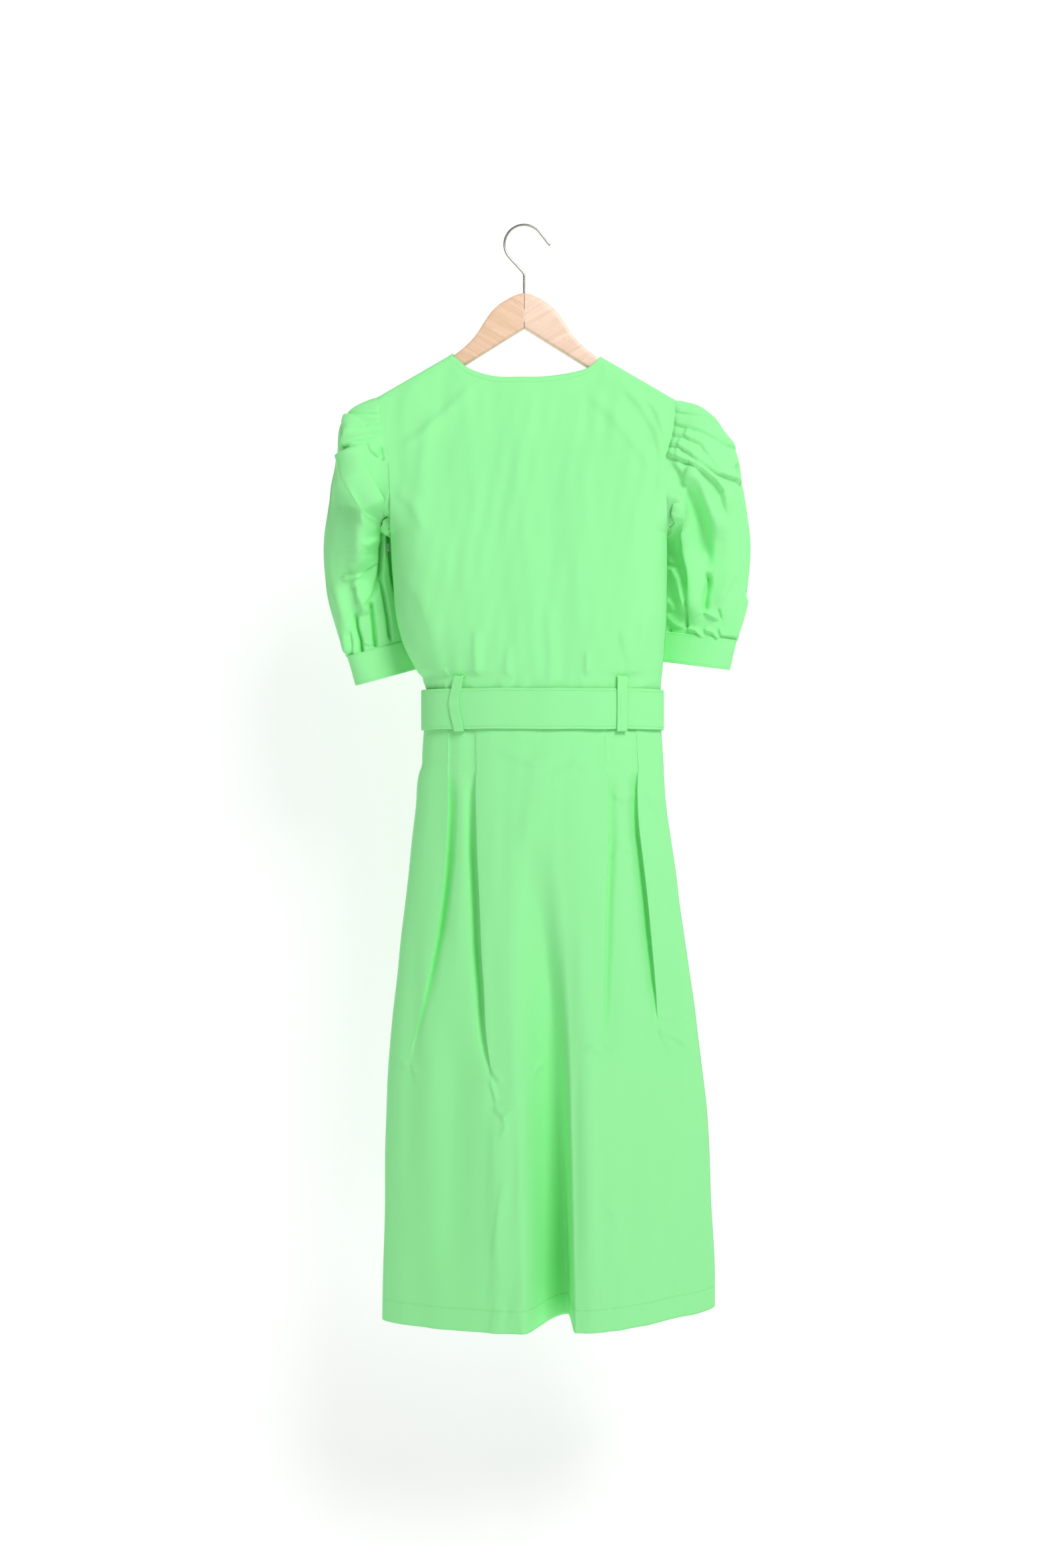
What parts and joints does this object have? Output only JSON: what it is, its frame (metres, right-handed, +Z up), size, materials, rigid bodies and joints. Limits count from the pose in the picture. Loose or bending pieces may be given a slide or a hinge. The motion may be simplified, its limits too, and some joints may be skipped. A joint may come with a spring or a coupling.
{
  "type": "dress on hanger",
  "caption": "Belted puff-sleeve midi dress with a pleated skirt, hanging on a flat wooden hanger with a swivelling wire hook.",
  "frame": {"origin": "inside of the hook's crown, where a rail bears", "axes": "+Z up; -Y out of the back of the dress, +Y out of its front; -X is the wearer's left"},
  "size_m": [0.5414, 0.184, 1.3659],
  "materials": {
    "dress_cotton": "crisp plain-weave cotton, soft sheen",
    "facing_cotton": "inside of the same cotton",
    "beech": "clear satin lacquer",
    "spline_wood": "clear satin lacquer",
    "hook_steel": "polished nickel",
    "pin_brass": "plain",
    "zip_metal": "enamelled to match the cloth",
    "zip_tape": "woven tape",
    "label_cloth": "blank woven label"
  },
  "bodies": {
    "hook": {"hook": "hook_steel"},
    "hanger": {"hanger_left_half": "beech", "hanger_right_half": "beech", "hanger_spline": "spline_wood", "hook_pin": "pin_brass"},
    "dress": {"back_bodice": "dress_cotton", "front_bodice": "dress_cotton", "neck_facing_back": "facing_cotton", "neck_facing_front": "facing_cotton", "back_skirt": "dress_cotton", "front_skirt": "dress_cotton", "belt_loop_back_left": "dress_cotton", "belt_loop_back_right": "dress_cotton", "belt_loop_front_left": "dress_cotton", "belt_loop_front_right": "dress_cotton", "zip_tape_back": "zip_tape", "zip_tape_front": "zip_tape", "zip_bottom_stop": "zip_metal", "neck_label": "label_cloth", "care_label": "label_cloth"},
    "left_sleeve": {"left_sleeve": "dress_cotton", "left_cuff": "dress_cotton"},
    "right_sleeve": {"right_sleeve": "dress_cotton", "right_cuff": "dress_cotton"},
    "belt": {"belt": "dress_cotton", "belt_keeper": "dress_cotton"},
    "buckle": {"buckle_frame": "dress_cotton"},
    "zip_slider": {"zip_slider": "zip_metal"},
    "zip_pull": {"zip_pull": "zip_metal"}
  },
  "joints": [
    {"name": "hook_swivel", "type": "hinge", "parent": "hook", "child": "hanger", "pos_m": [0, 0, -0.098], "axis": [0, 0, 1], "continuous": true},
    {"name": "dress_lift", "type": "slide", "parent": "hanger", "child": "dress", "axis": [0, 0, 1], "range_m": [0, 0.03]},
    {"name": "left_sleeve_swing", "type": "hinge", "parent": "dress", "child": "left_sleeve", "pos_m": [-0.182, 0, -0.213], "axis": [0, 1, 0], "range_deg": [0, 35]},
    {"name": "right_sleeve_swing", "type": "hinge", "parent": "dress", "child": "right_sleeve", "pos_m": [0.19, 0, -0.218], "axis": [0, -1, 0], "range_deg": [0, 35]},
    {"name": "belt_shift", "type": "slide", "parent": "dress", "child": "belt", "axis": [0, 0, 1], "range_m": [0, 0.008]},
    {"name": "buckle_turn", "type": "hinge", "parent": "belt", "child": "buckle", "pos_m": [0.04127, 0.06316, -0.603], "axis": [0, 0, -1], "range_deg": [0, 35]},
    {"name": "zip_slide", "type": "slide", "parent": "dress", "child": "zip_slider", "axis": [0.0769, 0, -0.997], "range_m": [0, 0.07]},
    {"name": "zip_pull_swing", "type": "hinge", "parent": "zip_slider", "child": "zip_pull", "pos_m": [-0.17175, 0, -0.397], "axis": [0, 1, 0], "range_deg": [0, 45]}
  ]
}
